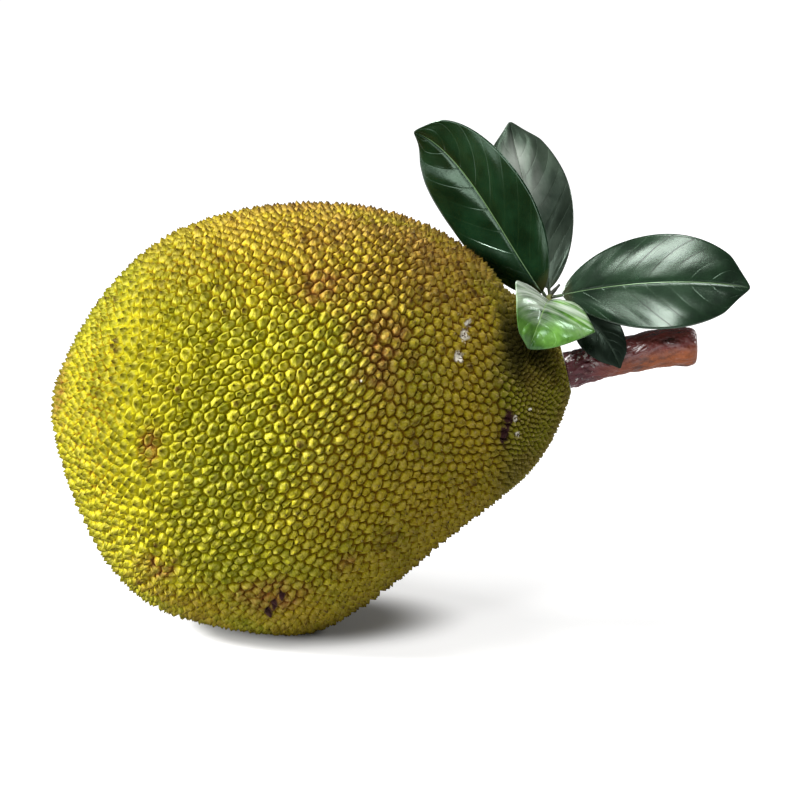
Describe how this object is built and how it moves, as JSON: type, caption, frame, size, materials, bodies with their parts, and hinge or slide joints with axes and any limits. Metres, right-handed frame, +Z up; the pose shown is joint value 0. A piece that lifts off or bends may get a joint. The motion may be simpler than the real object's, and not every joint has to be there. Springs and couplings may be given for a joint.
{
  "type": "jackfruit",
  "caption": "Whole spiny jackfruit lying on its side, with its cut stalk and a short leafy twig at one end.",
  "frame": {"origin": "centre of the small flat spot that the fruit rests on", "axes": "+X along the fruit towards its stalk, +Y to the fruit's far side, +Z up"},
  "size_m": [0.4312, 0.2624, 0.3136],
  "materials": {
    "rind": "waxy, spiny rind",
    "stalk_bark": "damp bark",
    "twig_bark": "green bark",
    "leaf_dark": "glossy leaf",
    "leaf_young": "glossy young leaf"
  },
  "bodies": {
    "root": {"fruit": "rind", "stalk": "stalk_bark", "twig": "twig_bark", "leaf_upper_left": "leaf_dark", "leaf_upper_back": "leaf_dark", "leaf_right": "leaf_dark", "leaf_hanging": "leaf_dark", "leaf_young": "leaf_young"}
  },
  "joints": []
}
